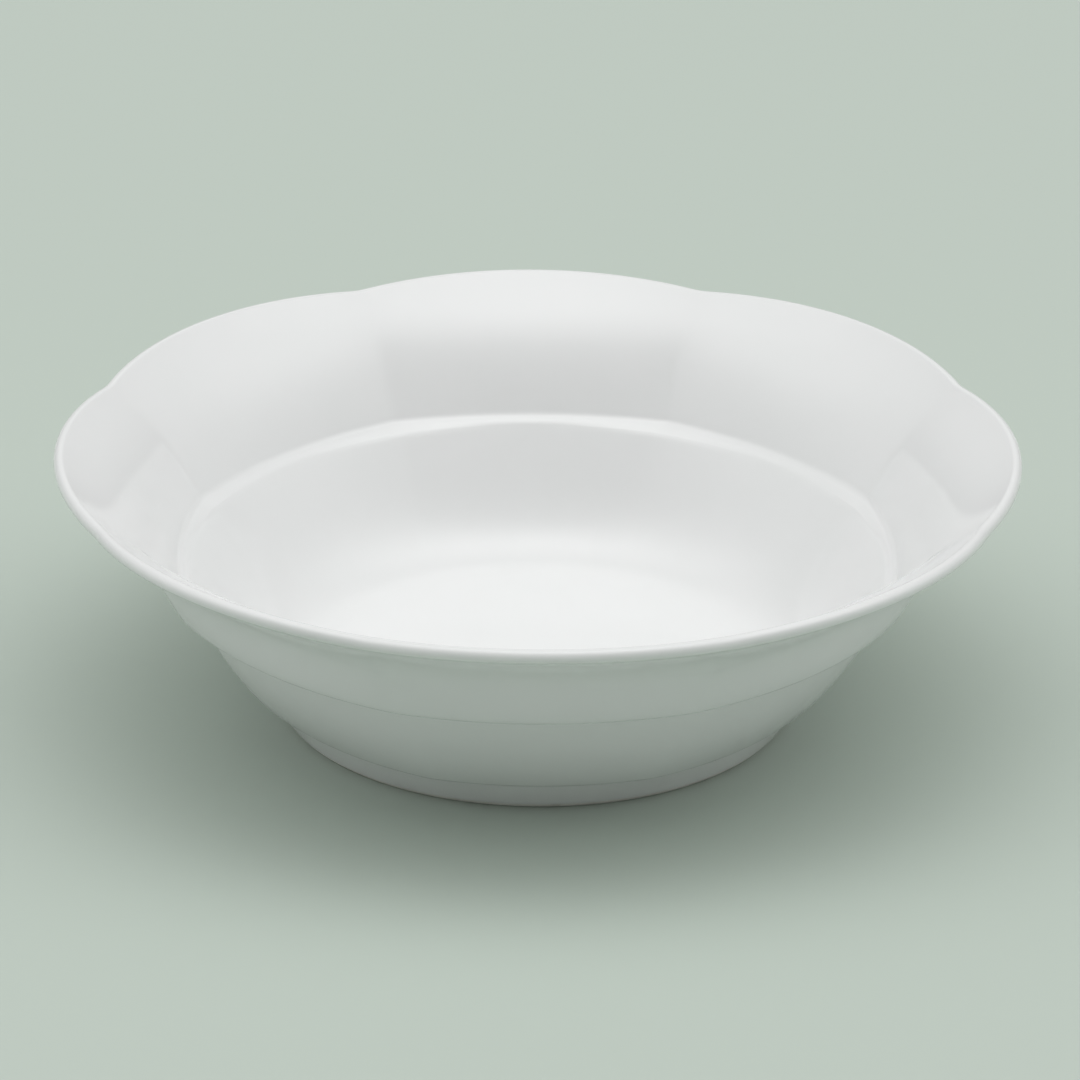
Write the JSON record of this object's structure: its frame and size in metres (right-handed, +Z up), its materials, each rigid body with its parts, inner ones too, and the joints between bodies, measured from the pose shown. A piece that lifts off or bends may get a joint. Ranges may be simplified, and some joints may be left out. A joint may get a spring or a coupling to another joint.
{
  "type": "porcelain serving bowl",
  "caption": "Wide white porcelain serving bowl with a softly lobed flaring rim, stepped sides, an inside ledge and a low round foot ring.",
  "frame": {"origin": "on the table, under the centre of the bowl", "axes": "+Z up along the bowl's axis; the middle of one lobe points along +X"},
  "size_m": [0.25, 0.25, 0.0707],
  "materials": {
    "porcelain": "fired and unglazed, matte",
    "glaze": "clear white glaze, glossy"
  },
  "bodies": {
    "root": {"porcelain_body": "porcelain", "foot_ring": "porcelain", "inside_glaze": "glaze", "outside_glaze": "glaze", "foot_glaze": "glaze", "recess_glaze": "glaze"}
  },
  "joints": []
}
